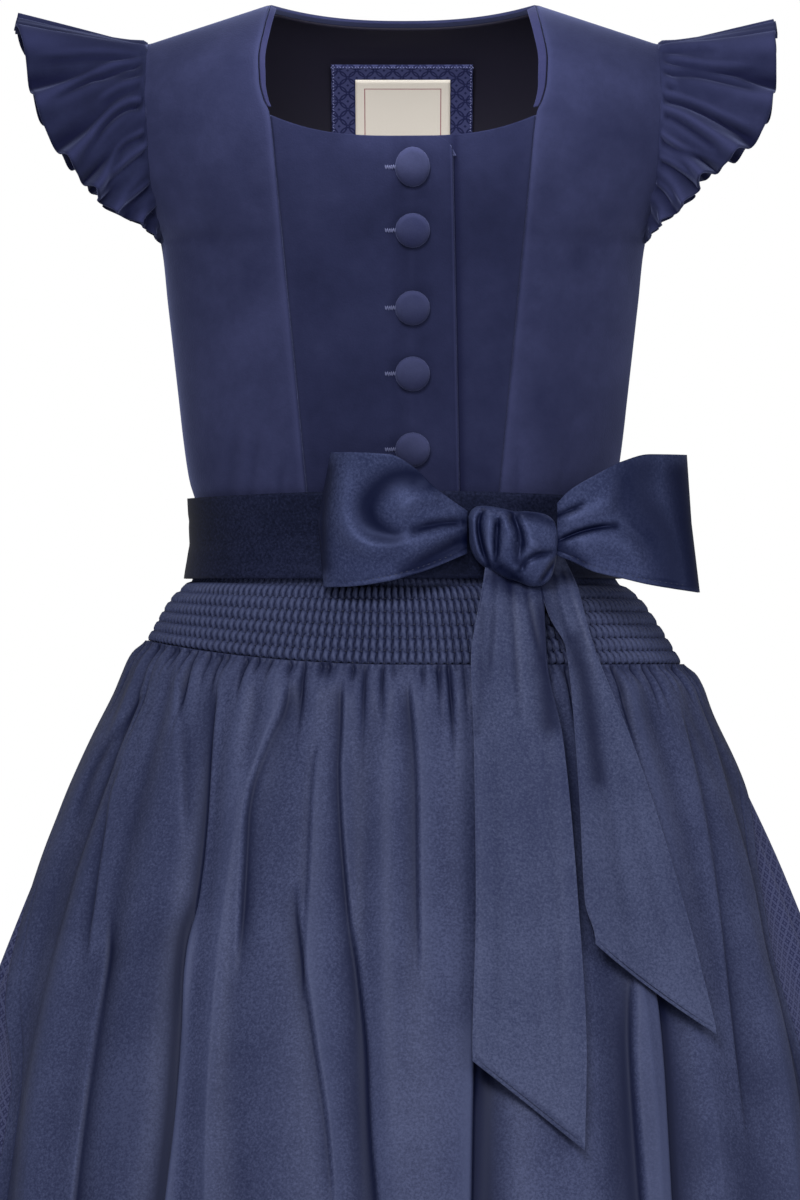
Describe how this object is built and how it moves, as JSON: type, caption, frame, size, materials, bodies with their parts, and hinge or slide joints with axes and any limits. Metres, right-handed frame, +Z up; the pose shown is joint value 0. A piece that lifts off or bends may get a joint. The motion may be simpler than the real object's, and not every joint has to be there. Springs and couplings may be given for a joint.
{
  "type": "girl's dirndl dress",
  "caption": "A girl's dirndl, filled out with no wearer: a buttoned velvet bodice with ruffled cap sleeves, a gathered skirt, and a satin apron with a smocked top and a sash tied in a front bow.",
  "frame": {"origin": "midway between the two shoulders, at the height where the straps meet the neck, which is where a wearer or a hanger holds the dress", "axes": "+X to the wearer's left, -Y out of the front, +Z up; the dress is as high as Z says and its front faces -Y"},
  "size_m": [0.576, 0.4646, 0.7449],
  "materials": {
    "velvet": "deep navy cotton velvet, short pile",
    "lining": "near-black plain woven lining",
    "patch_jacquard": "navy jacquard with a small lattice repeat",
    "label_cloth": "cream woven label, bare",
    "skirt_jacquard": "navy and violet jacquard with a leaf ring and dot repeat",
    "apron_satin": "dull blue satin, crisp and lightly creased",
    "bow_satin": "dull blue satin, crisp and lightly creased"
  },
  "bodies": {
    "root": {"bodice_front_centre_right": "velvet", "bodice_front_centre_left": "velvet", "bodice_front_side_right": "velvet", "bodice_front_side_left": "velvet", "bodice_back": "velvet", "neck_facing_right": "velvet", "neck_facing_left": "velvet", "sleeve_right": "velvet", "sleeve_left": "velvet", "button_1": "velvet", "button_2": "velvet", "button_3": "velvet", "button_4": "velvet", "button_5": "velvet", "back_lining": "lining", "label_patch": "patch_jacquard", "neck_label": "label_cloth", "skirt_front": "skirt_jacquard", "skirt_back": "skirt_jacquard", "apron_skirt": "apron_satin", "apron_smocking": "apron_satin", "sash_band": "bow_satin", "bow_loop_right": "bow_satin", "bow_loop_left": "bow_satin", "bow_knot": "bow_satin", "bow_tail_right": "bow_satin", "bow_tail_left": "bow_satin"}
  },
  "joints": []
}
